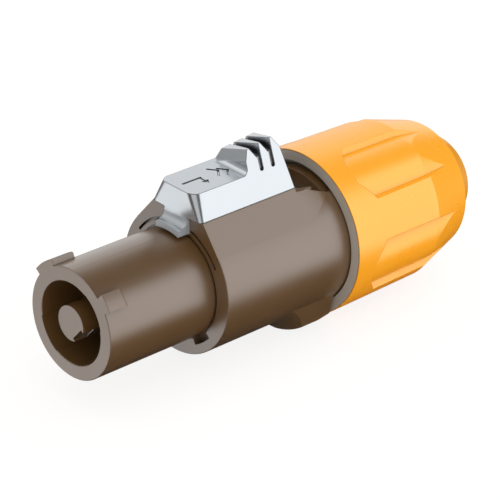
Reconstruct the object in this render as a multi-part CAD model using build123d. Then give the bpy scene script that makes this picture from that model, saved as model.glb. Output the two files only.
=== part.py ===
from build123d import *
from math import acos, atan, atan2, cos, degrees, hypot, radians, sin
import os

# Twist-lock power connector for a cable end, 32 A class, with a sliding thumb latch.
# Lengths are in millimetres. The barrel that mates points along +X, and X = 0 is its front face.
# The latch is on top, at +Z. A clock angle is 0 at the top and grows towards +Y.

# Fits
RUNNING_FIT = 0.05
SEAT_GAP = 0.05
CONE_GAP = 0.3
EDGE = 0.35
CRISP_EDGE = 0.12
OVERCUT = 1.0
TOUCH = 0.01

# Barrel and its keys
BARREL_R = 12.0
BARREL_LENGTH = 27.93
BARREL_WALL = 3.1
BORE_DEPTH = 26.0
ROOT_GROOVE_WIDTH = 0.35
ROOT_GROOVE_DEPTH = 0.5
TOP_KEY = {"from": -54.4, "to": -27.5, "height": 1.35, "length": 5.5}
SIDE_KEY = {"from": 40.9, "to": 57.3, "height": 1.7, "length": 4.8}
KEY_CORNER_R = 0.5
BORE_GROOVES = ((27.0, 77.0), (-153.0, -103.0))
BORE_GROOVE_DEPTH = 0.25

# Body of the housing
BODY_STEP = 3.8
BODY_LENGTH = 37.07
SHOULDER_LENGTH = 26.1
SHOULDER_RUNOUT = 7.7
CHEEK_RISE = 0.3
CHEEK_HALF_WIDTH = 7.3
SHELF_LENGTH = 4.3
SHELF_INSET = 1.1
SHELF_REACH = 0.5
SHELF_DROP = (0.15, 0.9)
WELL_HALF_ANGLE = 33.0
WELL_LENGTH = 7.1
WELL_WALL = 0.6
WELL_DEPTH = 4.8
WELL_LIP = 0.35
FACE_NOTCH = {"from": 129.0, "to": 151.0, "reach": 1.7, "depth": 2.0}
FACE_SLOT_REACH = 1.3
FACE_SLOT_WIDTH = 0.55
FACE_SLOT_END = 57.0
FACE_SLOT_DEPTH = 1.2

# Foot under the rear of the body
FOOT_HEIGHT = 3.2
FOOT_FLARE_LENGTH = 5.6
FOOT_FLARE_SHAPE = (0.65, 0.32)
FOOT_CREST_LENGTH = 4.8
FOOT_FRONT_OFFSET = 20.5
FOOT_END_GAP = 0.9
FOOT_CREST_ANGLE = 38.0
FOOT_END_ANGLE = 54.0
FOOT_FLAT = 0.4
FOOT_TAIL_DROP = 0.4

# Chamber, neck and its thread zone
CHAMBER_WALL = 3.8
CHAMBER_FRONT_WALL = 8.0
CHAMBER_LENGTH = 34.0
CHAMBER_FLAT_DROP = 2.8
NECK_STEP = 1.0
NECK_WALL = 2.3
NECK_LENGTH = 17.0
NECK_COLLAR_LENGTH = 1.0
NECK_LAND_LENGTH = 4.0
THREAD_DEPTH = 0.65
SEAL_RING_R = 0.6
SEAL_GROOVE_GAP = 0.05

# Latch: heights are above the cheeks that it slides on, lengths run back from the barrel's front
LATCH_TRAVEL = 3.2
LATCH_LEAN = 0.4
LATCH_PLATEAU_HEIGHT = 5.6
LATCH_FRONT_TOP = 27.1
LATCH_FRONT_FOOT = 27.3
LATCH_REAR_FOOT = 53.8
LATCH_REAR_TOP = 52.2
LATCH_CORNER_FOOT_R = 1.1
LATCH_CORNER_TOP_R = 2.1
RISER_FRONT = 42.4
RISER_FILLET = 1.5
PANEL_FOOT = (42.45, 6.9)
PANEL_SLOPE = 0.36
TOOTH_FRONT = 43.45
TOOTH_UNDERCUT = 0.1
TOOTH_PITCH = 3.2
TOOTH_COUNT = 3
TOOTH_BASE = 2.4
TOOTH_HEIGHT = 3.2
TOOTH_RISE = 0.4
NOTCH_FLOOR_HEIGHT = 7.8
RIDGE_TILT = 0.33
RIDGE_HEIGHT = 9.35
SIDE_SLOT_WIDTH = 0.9
SIDE_SLOT_FOOT_HEIGHT = 5.5
SIDE_SLOT_DEPTH = 0.5
LIP_REACH = 2.98
LIP_THICKNESS = 1.2
LIP_HALF_WIDTH = 3.4
LIP_BLEND_R = 1.3
KEEL_HALF_WIDTH = 3.5
KEEL_LENGTH = 12.7
RAIL_OVERHANG = 1.55
RAIL_HEIGHT = 1.45
CHANNEL_STEP = 0.65
RAIL_STOP_OFFSET = 3.6
LATCH_HOLLOW_HEIGHT = 3.9
LATCH_REAR_WALL = 2.4

# Plain marks cut into the latch's plateau: a bent arrow and two chevrons, as (x, y) points
MARK_DEPTH = 0.22
MARK_WIDTH = 0.42
MARK_LINES = (
    ((-29.2, -0.2), (-33.9, -0.2)),
    ((-33.7, -0.2), (-33.7, 1.5)),
    ((-37.6, -2.1), (-39.0, -0.4), (-37.6, 1.3)),
    ((-39.4, -1.1), (-40.8, 0.6), (-39.4, 2.3)),
)
MARK_HEAD = ((-32.8, 1.4), (-33.7, 2.7), (-34.6, 1.4))

# Latch spring
SPRING_R = 1.15
SPRING_WIRE_R = 0.2
SPRING_TURNS = 8
SPRING_POCKET_DEPTH = 3.0
SPRING_LENGTH = 13.0
SPRING_SIDE_GAP = 0.1
SPRING_PIN_R = 0.7
SPRING_PIN_END_GAP = 2.3
SPRING_SEAT_LENGTH = 3.0

# Contact carrier
POST_R = 3.8
CARRIER_FLANGE = 4.0
HUB_LENGTH = 14.0
HUB_WALL = 1.6
CLIP_WIDTH = 1.15
CLIP_DEPTH = 0.5
CLIP_INSET = 0.8
CLIP_OPEN_ANGLE = 50.0

# Contacts and their terminals
LINE_CONTACT_ANGLES = {"live": 52.0, "neutral": 232.0}
EARTH_ANGLE = 129.0
LINE_BLADE_WIDTH = 4.4
EARTH_BLADE_WIDTH = 3.5
BLADE_THICKNESS = 0.7
BLADE_TIP_INSET = 7.0
BLADE_BOW_START = 2.5
BLADE_BOW_END = 9.0
EARTH_TIP_INSET = 3.0
BLADE_BOW = 0.75
BLADE_LIE = 0.2
BLADE_REST = 0.05
EARTH_GROOVE_DEPTH = 1.26
EARTH_LIE = 0.03
CLAMP_LENGTH = 9.0
CLAMP_WIDTH = 6.0
CLAMP_HEIGHT = 6.1
CLAMP_OFFSET = 4.0
CLAMP_HEADROOM = 1.0
CLAMP_SIDE_ROOM = 2.0
CLAMP_FRONT_WALL = 1.5
WIRE_HOLE_R = 1.8
WIRE_HOLE_DROP = 0.15
SCREW_R = 1.5
SCREW_PROUD = 0.5
SCREW_SLOT = 0.6
SCREW_SLOT_DEPTH = 0.8

# Cable, and the chuck that grips it
CABLE_R = 7.0
CHUCK_SKIRT = 12.0
CHUCK_SKIRT_STEP = 2.0
CHUCK_COLLAR_STEP = 1.1
CHUCK_COLLAR_LENGTH = 1.7
CHUCK_CONE_LENGTH = 12.5
CHUCK_CONE_DROP = 3.4
CHUCK_FINGERS = 6
CHUCK_SLIT = 1.4
CHUCK_KEY_HALF_WIDTH = 1.5
CHUCK_KEY_HEIGHT = 0.8
GRIP_RING_DEPTH = 0.4
GRIP_RING_PITCH = 2.4
GRIP_RING_COUNT = 4
GRIP_RING_START = 1.5

# Gland nut
NUT_FACE_OVERLAP = 2.05
NUT_SKIRT_GAP = 0.25
NUT_FLANGE_WALL = 2.2
NUT_BEVEL = 0.85
NUT_BEVEL_LENGTH = 1.6
NUT_FLANGE_LENGTH = 4.05
NUT_WALL = 1.05
NUT_CONE_WALL = 1.6
NUT_CONE_OVERLAP = 2.0
NUT_BORE_OVERLAP = 0.6
NUT_END_WALL = 2.0
NUT_MOUTH_GAP = 1.6

# Grip sleeve
SLEEVE_EDGE_WALL = 0.236
SLEEVE_TAPER = 0.416
SLEEVE_BARREL_LENGTH = 25.05
SLEEVE_CONE_LENGTH = 12.4
SLEEVE_CONE_DROP = 3.47
SLEEVE_RIM_FILLET = 0.4
STUB_LENGTH = 6.4
STUB_GAP = 0.8
STUB_WALL = 2.0
STUB_ROOT_STEP = 1.5
STUB_FILLET = 1.0
RIB_COUNT = 5
RIB_WIDTH_ANGLE = 28.0
FIRST_RIB_ANGLE = -5.0
LOBE_R = 8.2
RECESS_FRONT = 5.45
RECESS_CHEVRON = 3.24
RECESS_CROWN_ANGLE = 7.5
RECESS_REAR_SLOPE = 9.5
RECESS_WALL_MEET = 7.1

# Radii, worked out from the barrel outwards
BORE_R = BARREL_R - BARREL_WALL
BODY_R = BARREL_R + BODY_STEP
CHAMBER_R = BODY_R - CHAMBER_WALL
CHAMBER_FLAT_Z = CHAMBER_R - CHAMBER_FLAT_DROP
NECK_R = BODY_R - NECK_STEP
NECK_BORE_R = NECK_R - NECK_WALL
CHANNEL_FLOOR_R = BARREL_R + CHANNEL_STEP
WELL_FLOOR_Z = BODY_R - WELL_DEPTH
HUB_FLAT_R = CHAMBER_R - CLAMP_HEADROOM - SCREW_PROUD - CLAMP_HEIGHT
BLADE_SEAT_R = HUB_FLAT_R + BLADE_REST
EARTH_GROOVE_R = POST_R - EARTH_GROOVE_DEPTH
WIRE_HOLE_CENTRE_R = BLADE_SEAT_R + BLADE_THICKNESS + WIRE_HOLE_R - WIRE_HOLE_DROP
CHUCK_COLLAR_R = NECK_BORE_R + CHUCK_COLLAR_STEP
CHUCK_TIP_R = CHUCK_COLLAR_R - CHUCK_CONE_DROP
NUT_SKIRT_R = BODY_R + NUT_SKIRT_GAP
NUT_BORE_R = NECK_R + RUNNING_FIT
NUT_OUTLINE_R = NUT_BORE_R + NUT_WALL
NUT_FLANGE_R = NUT_SKIRT_R + NUT_FLANGE_WALL
NUT_FLANGE_LAND_R = NUT_FLANGE_R - NUT_BEVEL
NUT_MOUTH_R = CABLE_R + NUT_MOUTH_GAP
SLEEVE_FRONT_R = NUT_FLANGE_R + SLEEVE_EDGE_WALL
SLEEVE_CREASE_R = SLEEVE_FRONT_R - SLEEVE_TAPER
SLEEVE_RIM_R = SLEEVE_CREASE_R - SLEEVE_CONE_DROP
STUB_HOLE_R = CABLE_R + STUB_GAP
STUB_R = STUB_HOLE_R + STUB_WALL
STUB_ROOT_R = STUB_R + STUB_ROOT_STEP

# Heights, worked out from the cheeks that the latch slides on
CHEEK_TOP_Z = BODY_R + CHEEK_RISE
RAIL_TOP_Z = CHANNEL_FLOOR_R + RAIL_HEIGHT
SPRING_AXIS_Z = (CHANNEL_FLOOR_R + CHEEK_TOP_Z) / 2
LATCH_PLATEAU_Z = CHEEK_TOP_Z + LATCH_PLATEAU_HEIGHT
LATCH_HOLLOW_TOP_Z = CHEEK_TOP_Z + LATCH_HOLLOW_HEIGHT
PANEL_FOOT_Z = CHEEK_TOP_Z + PANEL_FOOT[1]
NOTCH_FLOOR_Z = CHEEK_TOP_Z + NOTCH_FLOOR_HEIGHT
RIDGE_TOP_Z = CHEEK_TOP_Z + RIDGE_HEIGHT
SIDE_SLOT_FOOT_Z = CHEEK_TOP_Z + SIDE_SLOT_FOOT_HEIGHT

# Places along X, worked out from the lengths above
BODY_FRONT = -BARREL_LENGTH
BODY_REAR = BODY_FRONT - BODY_LENGTH
SHOULDER_REAR = BODY_FRONT - SHOULDER_LENGTH
SHOULDER_END = SHOULDER_REAR - SHOULDER_RUNOUT
SHELF_FRONT = -LATCH_REAR_FOOT
WELL_FRONT = SHOULDER_REAR - WELL_WALL
WELL_REAR = WELL_FRONT - WELL_LENGTH
CHAMBER_FRONT = -BORE_DEPTH - CHAMBER_FRONT_WALL
CHAMBER_REAR = CHAMBER_FRONT - CHAMBER_LENGTH
NECK_REAR = BODY_REAR - NECK_LENGTH
THREAD_FRONT = BODY_REAR - NECK_COLLAR_LENGTH
THREAD_REAR = NECK_REAR + NECK_LAND_LENGTH
SEAL_X = NECK_REAR + NECK_LAND_LENGTH / 2
RAIL_FRONT = BODY_FRONT - RAIL_STOP_OFFSET
KEEL_REAR = -LATCH_FRONT_FOOT - KEEL_LENGTH
SPRING_FRONT = KEEL_REAR + SPRING_POCKET_DEPTH
SPRING_REAR = SPRING_FRONT - SPRING_LENGTH
SPRING_SEAT_REAR = SPRING_REAR - SPRING_SEAT_LENGTH
SPRING_PIN_FRONT = SPRING_FRONT - LATCH_TRAVEL - SPRING_PIN_END_GAP
FLANGE_REAR = CHAMBER_FRONT - CARRIER_FLANGE
HUB_REAR = FLANGE_REAR - HUB_LENGTH
CLAMP_FRONT = FLANGE_REAR - CLAMP_OFFSET
CLAMP_REAR = CLAMP_FRONT - CLAMP_LENGTH
SCREW_X = (CLAMP_FRONT + CLAMP_REAR) / 2
CHUCK_COLLAR_FRONT = NECK_REAR - CONE_GAP
CHUCK_FRONT = NECK_REAR + CHUCK_SKIRT
CHUCK_CONE_FRONT = CHUCK_COLLAR_FRONT - CHUCK_COLLAR_LENGTH
CHUCK_REAR = CHUCK_CONE_FRONT - CHUCK_CONE_LENGTH
NUT_FACE = BODY_REAR + NUT_FACE_OVERLAP
NUT_FLANGE_REAR = NUT_FACE - NUT_FLANGE_LENGTH
NUT_STEP = BODY_REAR - SEAT_GAP
NUT_BORE_REAR = CHUCK_CONE_FRONT - NUT_BORE_OVERLAP
NUT_END_FRONT = CHUCK_REAR - CONE_GAP
NUT_REAR = NUT_END_FRONT - NUT_END_WALL
SLEEVE_FRONT = NUT_FACE - SEAT_GAP
SLEEVE_CREASE = SLEEVE_FRONT - SLEEVE_BARREL_LENGTH
SLEEVE_RIM = SLEEVE_CREASE - SLEEVE_CONE_LENGTH
STUB_REAR = SLEEVE_RIM - STUB_LENGTH
NUT_TAPER_FRONT = SLEEVE_CREASE + NUT_CONE_OVERLAP


def block(x, y, z):
    """A block between the limits x, y and z, each a pair of ends."""
    limits = [sorted(pair) for pair in (x, y, z)]
    size = [high - low for low, high in limits]
    middle = [(high + low) / 2 for low, high in limits]
    return Pos(*middle) * Box(*size)


def turned(points, arc=360.0):
    """A solid turned about X from (x, radius) points."""
    return revolve(Plane.XZ * make_face(Polyline(*points, close=True)), Axis.X, arc)


def rod(radius, x_front, x_rear):
    """A solid cylinder along X."""
    return turned([(x_front, 0), (x_front, radius), (x_rear, radius), (x_rear, 0)])


def at_clock(shape, angle):
    """Turn a shape that was made at the top to a clock angle."""
    return Rot(X=-angle) * shape


def sector(r_in, r_out, x_front, x_rear, start, end):
    """Part of a ring between two clock angles."""
    ring = turned([(x_front, r_in), (x_front, r_out), (x_rear, r_out), (x_rear, r_in)], end - start)
    return at_clock(ring, end)


def section(points, x_front, x_rear):
    """A prism along X from (y, z) points."""
    face = Plane.YZ * make_face(Polyline(*points, close=True))
    return Pos(x_rear, 0, 0) * extrude(face, x_front - x_rear)


def side_profile(points, half_width):
    """A prism across Y from (x, z) points."""
    face = Plane.XZ * make_face(Polyline(*points, close=True))
    return extrude(face, half_width, both=True)


def mirrored_outline(points):
    """Add the mirror image in Y to (y, z) points that run down one side."""
    return points + [(-y, z) for y, z in reversed(points)]


def key(spec):
    """A coding key on the outside of the barrel, with its rear outer edge rounded."""
    outer_r = BARREL_R + spec["height"]
    shape = sector(BORE_R + BARREL_WALL / 2, outer_r, 0, -spec["length"], spec["from"], spec["to"])
    rear = [
        edge for edge in shape.edges().filter_by(GeomType.CIRCLE)
        if abs(edge.radius - outer_r) < TOUCH and edge.center().X < -TOUCH
    ]
    return fillet(rear, KEY_CORNER_R)


def round_point(angle):
    """The (y, z) point on the round body at a clock angle."""
    return (BODY_R * sin(radians(angle)), BODY_R * cos(radians(angle)))


def shoulder_foot_angle():
    """The clock angle where a shoulder's flat side meets the round body smoothly."""
    corner_r = hypot(CHEEK_HALF_WIDTH, CHEEK_TOP_Z)
    return degrees(atan2(CHEEK_HALF_WIDTH, CHEEK_TOP_Z) + acos(BODY_R / corner_r))


def shoulder_outlines():
    """The shoulders' outline beside the latch, and the one that they run out to on the round body."""
    low = round_point(shoulder_foot_angle())
    base = (low[0], 0)
    raised = [(CHEEK_HALF_WIDTH, CHEEK_TOP_Z), low, base]
    faded = [round_point(WELL_HALF_ANGLE), low, base]
    return mirrored_outline(raised), mirrored_outline(faded)


def shelves(height):
    """What lies above or below the two narrow shelves behind the latch, up to a height over them."""
    top = [
        (CHEEK_HALF_WIDTH - SHELF_INSET, CHEEK_TOP_Z - SHELF_DROP[0]),
        (CHEEK_HALF_WIDTH + SHELF_REACH, CHEEK_TOP_Z - SHELF_DROP[1]),
    ]
    outline = top + [(y, z + height) for y, z in reversed(top)]
    shelf = section(outline, SHELF_FRONT, SHELF_FRONT - SHELF_LENGTH)
    return shelf + mirror(shelf, Plane.XZ)


def make_shoulders():
    """The two raised shoulders that carry the latch, one solid across the body."""
    raised, faded = shoulder_outlines()
    straight = section(raised, BODY_FRONT, SHOULDER_REAR)
    ends = [
        Pos(x, 0, 0) * (Plane.YZ * make_face(Polyline(*outline, close=True)))
        for x, outline in ((SHOULDER_REAR, raised), (SHOULDER_END, faded))
    ]
    return straight + loft(ends, ruled=True) - shelves(OVERCUT) + shelves(-OVERCUT)


def make_foot():
    """The flared foot opposite the latch, flat underneath."""
    crest_r = BODY_R + FOOT_HEIGHT
    front = BODY_FRONT - FOOT_FRONT_OFFSET
    crest_front = front - FOOT_FLARE_LENGTH
    crest_rear = crest_front - FOOT_CREST_LENGTH
    rear = NUT_FACE + FOOT_END_GAP
    inside = BODY_R - OVERCUT
    along, up = FOOT_FLARE_SHAPE
    middle = (front - along * FOOT_FLARE_LENGTH, BODY_R + up * FOOT_HEIGHT)
    flare = ThreePointArc((front, BODY_R), middle, (crest_front, crest_r))
    rest = Polyline(
        (crest_front, crest_r),
        (crest_rear, crest_r),
        (rear, crest_r - FOOT_TAIL_DROP),
        (rear, inside),
        (front, inside),
        (front, BODY_R),
    )
    ring = revolve(Plane.XZ * make_face(flare + rest), Axis.X, 2 * FOOT_END_ANGLE)
    foot = at_clock(ring, 180 + FOOT_END_ANGLE)
    crest = radians(FOOT_CREST_ANGLE)
    end = radians(FOOT_END_ANGLE)
    outline = [
        (crest_r * sin(crest), -crest_r + FOOT_FLAT),
        (crest_r * sin(crest), -crest_r * cos(crest)),
        (BODY_R * sin(end), -BODY_R * cos(end)),
        (BODY_R * sin(end), 0),
    ]
    return foot & section(mirrored_outline(outline), front + OVERCUT, rear - OVERCUT)


def channel():
    """The space that the latch's keel and rails slide in, open at the front face and into the well."""
    floor = rod(CHANNEL_FLOOR_R, BODY_FRONT + OVERCUT, WELL_REAR)
    keel = KEEL_HALF_WIDTH + RUNNING_FIT
    rear = WELL_FRONT - OVERCUT
    keel_slot = block((BODY_FRONT + OVERCUT, rear), (-keel, keel), (0, CHEEK_TOP_Z + OVERCUT))
    rail = keel + RAIL_OVERHANG
    rail_slot = block((RAIL_FRONT, rear), (-rail, rail), (0, RAIL_TOP_Z + RUNNING_FIT))
    return (keel_slot + rail_slot) - floor


def well():
    """The open well behind the latch, under the front of the gland nut."""
    front = CHEEK_HALF_WIDTH - WELL_LIP
    rear = BODY_R * sin(radians(WELL_HALF_ANGLE)) - WELL_LIP
    plan = [(WELL_FRONT, front), (WELL_REAR, rear), (WELL_REAR, -rear), (WELL_FRONT, -front)]
    pocket = Pos(0, 0, WELL_FLOOR_Z) * extrude(make_face(Polyline(*plan, close=True)), BODY_R)
    return pocket + sector(
        NECK_R, BODY_R + OVERCUT, WELL_REAR, BODY_REAR - OVERCUT, -WELL_HALF_ANGLE, WELL_HALF_ANGLE
    )


def line_pocket(angle):
    """The groove in the barrel's wall that one line contact lies in."""
    half = LINE_BLADE_WIDTH / 2 + RUNNING_FIT
    floor = BORE_R + BLADE_LIE + BLADE_THICKNESS + 2 * RUNNING_FIT
    front = OVERCUT - BLADE_TIP_INSET
    groove = block((CHAMBER_FRONT - TOUCH, front), (-half, half), (BORE_R - OVERCUT, floor))
    return at_clock(groove, angle)


def barrel_bore():
    """The barrel's bore with its broken edge and the shallow grooves in its wall."""
    bore = rod(BORE_R, OVERCUT, CHAMBER_FRONT - OVERCUT)
    edge_r = BORE_R + CRISP_EDGE
    bore += turned([(OVERCUT, 0), (OVERCUT, edge_r), (0, edge_r), (-CRISP_EDGE, BORE_R), (-CRISP_EDGE, 0)])
    for start, end in BORE_GROOVES:
        bore += sector(POST_R, BORE_R + BORE_GROOVE_DEPTH, OVERCUT, -BORE_DEPTH, start, end)
    return bore


def face_cuts():
    """The groove round the barrel's root, the notch and the two curved slots in the body's front face."""
    front = BODY_FRONT + TOUCH
    cuts = sector(BARREL_R, BARREL_R + ROOT_GROOVE_WIDTH, front, BODY_FRONT - ROOT_GROOVE_DEPTH, 0, 360)
    notch = FACE_NOTCH
    cuts += sector(
        BARREL_R, BARREL_R + notch["reach"], front, BODY_FRONT - notch["depth"], notch["from"], notch["to"]
    )
    slot_r = BARREL_R + FACE_SLOT_REACH
    start = degrees((KEEL_HALF_WIDTH + FACE_SLOT_WIDTH / 2) / slot_r)
    for first, last in ((start, FACE_SLOT_END), (-FACE_SLOT_END, -start)):
        cuts += sector(slot_r, slot_r + FACE_SLOT_WIDTH, front, BODY_FRONT - FACE_SLOT_DEPTH, first, last)
    return cuts


def chamber():
    """The chamber for the carrier and its terminals, with the clip's groove and the flat under the latch."""
    space = rod(CHAMBER_R, CHAMBER_FRONT, CHAMBER_REAR)
    space += rod(CHAMBER_R + CLIP_DEPTH + RUNNING_FIT, FLANGE_REAR, FLANGE_REAR - CLIP_WIDTH - RUNNING_FIT)
    space &= block((CHAMBER_FRONT, CHAMBER_REAR), (-BODY_R, BODY_R), (-BODY_R, CHAMBER_FLAT_Z))
    space += rod(NECK_BORE_R, CHAMBER_REAR, NECK_REAR - OVERCUT)
    half = CHUCK_KEY_HALF_WIDTH + RUNNING_FIT
    top = NECK_BORE_R + CHUCK_KEY_HEIGHT + RUNNING_FIT
    keyway = block((CHAMBER_REAR, NECK_REAR - OVERCUT), (-half, half), (CHAMBER_R - OVERCUT, top))
    return space + at_clock(keyway, 90) + at_clock(keyway, 270)


def seal_groove():
    """The groove in the neck for the rubber ring."""
    floor = NECK_R - 2 * SEAL_RING_R - SEAL_GROOVE_GAP
    half = SEAL_RING_R + SEAL_GROOVE_GAP
    front = SEAL_X + half
    rear = SEAL_X - half
    top = NECK_R + OVERCUT
    return turned([(front, floor), (front, top), (rear, top), (rear, floor)])


def make_housing():
    """One moulding: the barrel with its keys, the body, the foot and the neck for the gland nut."""
    thread_r = NECK_R - THREAD_DEPTH
    shell = turned([
        (0, 0), (0, BARREL_R - CRISP_EDGE), (-CRISP_EDGE, BARREL_R), (BODY_FRONT, BARREL_R),
        (BODY_FRONT, BODY_R - CRISP_EDGE), (BODY_FRONT - CRISP_EDGE, BODY_R), (BODY_REAR, BODY_R),
        (BODY_REAR, NECK_R), (THREAD_FRONT, NECK_R), (THREAD_FRONT, thread_r), (THREAD_REAR, thread_r),
        (THREAD_REAR, NECK_R), (NECK_REAR + EDGE, NECK_R), (NECK_REAR, NECK_R - EDGE), (NECK_REAR, 0),
    ])
    shell += make_shoulders() + make_foot() + key(TOP_KEY) + key(SIDE_KEY)
    shell -= barrel_bore() + chamber()
    for angle in LINE_CONTACT_ANGLES.values():
        shell -= line_pocket(angle)
    return shell - channel() - well() - face_cuts() - seal_groove()


def tooth(index):
    """One finger tooth, upright in front and sloping behind, before its top is cut."""
    front = -TOOTH_FRONT - index * TOOTH_PITCH
    rear = front - TOOTH_BASE
    foot = NOTCH_FLOOR_Z + index * TOOTH_RISE
    root = foot - 2 * OVERCUT
    outline = [(front, root), (front, foot + TOOTH_HEIGHT), (rear, foot), (rear, root)]
    return side_profile(outline, CHEEK_HALF_WIDTH)


def side_slot(index, side):
    """A narrow round-ended slot that runs down a side wall from a notch between two teeth."""
    half = SIDE_SLOT_WIDTH / 2
    x = -TOOTH_FRONT - (index + 1) * TOOTH_PITCH + half
    length = NOTCH_FLOOR_Z + (index + 1) * TOOTH_RISE + OVERCUT - SIDE_SLOT_FOOT_Z
    wall_y = CHEEK_HALF_WIDTH - LATCH_LEAN * SIDE_SLOT_FOOT_HEIGHT
    cutter = Pos(0, 0, half + length / 2) * Box(SIDE_SLOT_WIDTH, 2 * SIDE_SLOT_DEPTH, length)
    cutter += Pos(0, 0, half) * Rot(X=90) * Cylinder(half, 2 * SIDE_SLOT_DEPTH)
    return Pos(x, side * wall_y, SIDE_SLOT_FOOT_Z) * Rot(X=side * degrees(atan(LATCH_LEAN))) * cutter


def ridge_cut():
    """What is cut off above the teeth: a plane that rises to the rear and tilts across."""
    reach = LATCH_REAR_FOOT
    above = Rot(X=degrees(atan(RIDGE_TILT))) * block((-reach, reach), (-BODY_R, BODY_R), (0, BODY_R))
    return Pos(-TOOTH_FRONT, 0, RIDGE_TOP_Z) * Rot(Y=degrees(atan(TOOTH_RISE / TOOTH_PITCH))) * above


def marks():
    """The bent arrow and the two chevrons, cut into the plateau."""
    half = MARK_WIDTH / 2
    shape = make_face(Polyline(*MARK_HEAD, close=True))
    for line in MARK_LINES:
        for start, end in zip(line, line[1:]):
            stroke = Vector(*end) - Vector(*start)
            middle = (Vector(*start) + Vector(*end)) / 2
            turn = degrees(atan2(stroke.Y, stroke.X))
            shape += Pos(middle.X, middle.Y) * Rot(Z=turn) * Rectangle(stroke.length + 2 * half, MARK_WIDTH)
    return Pos(0, 0, LATCH_PLATEAU_Z - MARK_DEPTH) * extrude(shape, 2 * MARK_DEPTH)


def latch_plan(height, front, corner_r):
    """The latch's outline in plan at a height above the cheeks, rounded at its two front corners."""
    half = CHEEK_HALF_WIDTH - LATCH_LEAN * height
    rear = -LATCH_REAR_FOOT - OVERCUT
    outline = make_face(Polyline((rear, -half), (-front, -half), (-front, half), (rear, half), close=True))
    corners = [corner for corner in outline.vertices() if corner.X > rear + TOUCH]
    return Pos(0, 0, CHEEK_TOP_Z + height) * fillet(corners, corner_r)


def panel_cut():
    """What is cut off in front of the first tooth: above a tilted foot line, leaning back."""
    reach = (-BODY_R, BODY_R)
    foot = (-PANEL_FOOT[0], 0, PANEL_FOOT_Z)
    lean = Plane(origin=foot, x_dir=(0, 1, RIDGE_TILT), z_dir=(1, -PANEL_SLOPE * RIDGE_TILT, PANEL_SLOPE))
    ahead = lean * block(reach, reach, (0, BODY_R))
    above = Pos(*foot) * Rot(X=degrees(atan(RIDGE_TILT))) * block(reach, reach, (0, BODY_R))
    return ahead & above & block((-BODY_R - PANEL_FOOT[0], 0), reach, (LATCH_PLATEAU_Z, 2 * LATCH_PLATEAU_Z))


def latch_cover():
    """The latch above the cheeks: the plateau, the riser and the teeth, with leaning sides."""
    base_z = CHEEK_TOP_Z + RUNNING_FIT
    last_rise = (TOOTH_COUNT - 1) * TOOTH_RISE
    tooth_top = NOTCH_FLOOR_Z + TOOTH_HEIGHT
    tall = tooth_top + last_rise + OVERCUT
    top_half = CHEEK_HALF_WIDTH - LATCH_LEAN * (tall - CHEEK_TOP_Z)
    plateau_half = CHEEK_HALF_WIDTH - LATCH_LEAN * LATCH_PLATEAU_HEIGHT
    foot = latch_plan(0, LATCH_FRONT_FOOT, LATCH_CORNER_FOOT_R)
    plateau = latch_plan(LATCH_PLATEAU_HEIGHT, LATCH_FRONT_TOP, LATCH_CORNER_TOP_R)
    outline = mirrored_outline([(top_half, tall), (plateau_half, LATCH_PLATEAU_Z)])
    ridges = section(outline, -RISER_FRONT, -LATCH_REAR_FOOT - OVERCUT)
    cover = loft([foot.face(), plateau.face()], ruled=True) + ridges
    side = side_profile([
        (OVERCUT - LATCH_FRONT_TOP, base_z), (OVERCUT - LATCH_FRONT_TOP, LATCH_PLATEAU_Z),
        (-RISER_FRONT, LATCH_PLATEAU_Z), (-RISER_FRONT, tooth_top), (-TOOTH_FRONT, tooth_top),
        (-TOOTH_FRONT - TOOTH_UNDERCUT, NOTCH_FLOOR_Z),
        (-LATCH_REAR_TOP, NOTCH_FLOOR_Z + last_rise), (-LATCH_REAR_FOOT, base_z),
    ], CHEEK_HALF_WIDTH + OVERCUT)
    for index in range(TOOTH_COUNT):
        side += tooth(index)
    cover = cover & side
    foot_line = [
        edge for edge in cover.edges()
        if abs(edge.center().X + RISER_FRONT) < TOUCH and abs(edge.center().Z - LATCH_PLATEAU_Z) < TOUCH
    ]
    cover = fillet(foot_line, RISER_FILLET) - ridge_cut() - panel_cut()
    for index in range(TOOTH_COUNT - 1):
        cover -= side_slot(index, -1) + side_slot(index, 1)
    return cover - marks()


def latch_lip():
    """The lip over the barrel's root, with a hollow blend up to the latch's front."""
    lip_r = CHANNEL_FLOOR_R + 2 * RUNNING_FIT + LIP_THICKNESS
    front = -LATCH_FRONT_FOOT
    width = (-LIP_HALF_WIDTH, LIP_HALF_WIDTH)
    blend_top = lip_r + LIP_BLEND_R
    scoop = Pos(front + LIP_BLEND_R, 0, blend_top) * Rot(X=90) * Cylinder(LIP_BLEND_R, BODY_R)
    lip = rod(lip_r, BODY_FRONT + LIP_REACH, front - OVERCUT)
    lip += block((front, front + LIP_BLEND_R), width, (0, blend_top)) - scoop
    return lip & block((0, front - OVERCUT), width, (BARREL_R / 2, BODY_R + OVERCUT))


def make_latch():
    """The cast thumb latch: its cover, finger teeth, keel with rails, and the lip that locks."""
    base_z = CHEEK_TOP_Z + RUNNING_FIT
    inner = KEEL_HALF_WIDTH - RUNNING_FIT
    rail_y = KEEL_HALF_WIDTH + RAIL_OVERHANG
    hollow_rear = LATCH_REAR_WALL - LATCH_REAR_FOOT
    hollow = block((KEEL_REAR, hollow_rear), (-inner, inner), (base_z - OVERCUT, LATCH_HOLLOW_TOP_Z))
    keel = block((-LATCH_FRONT_FOOT, KEEL_REAR), (-KEEL_HALF_WIDTH, KEEL_HALF_WIDTH), (0, base_z))
    keel += block((RAIL_FRONT - SEAT_GAP, KEEL_REAR), (-rail_y, rail_y), (0, RAIL_TOP_Z))
    latch = latch_cover() - hollow + keel + latch_lip()
    latch -= rod(CHANNEL_FLOOR_R + 2 * RUNNING_FIT, 0, KEEL_REAR - OVERCUT)
    return latch - pin_at(SPRING_R + SPRING_WIRE_R + SPRING_SIDE_GAP, SPRING_FRONT, KEEL_REAR - OVERCUT)


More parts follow.
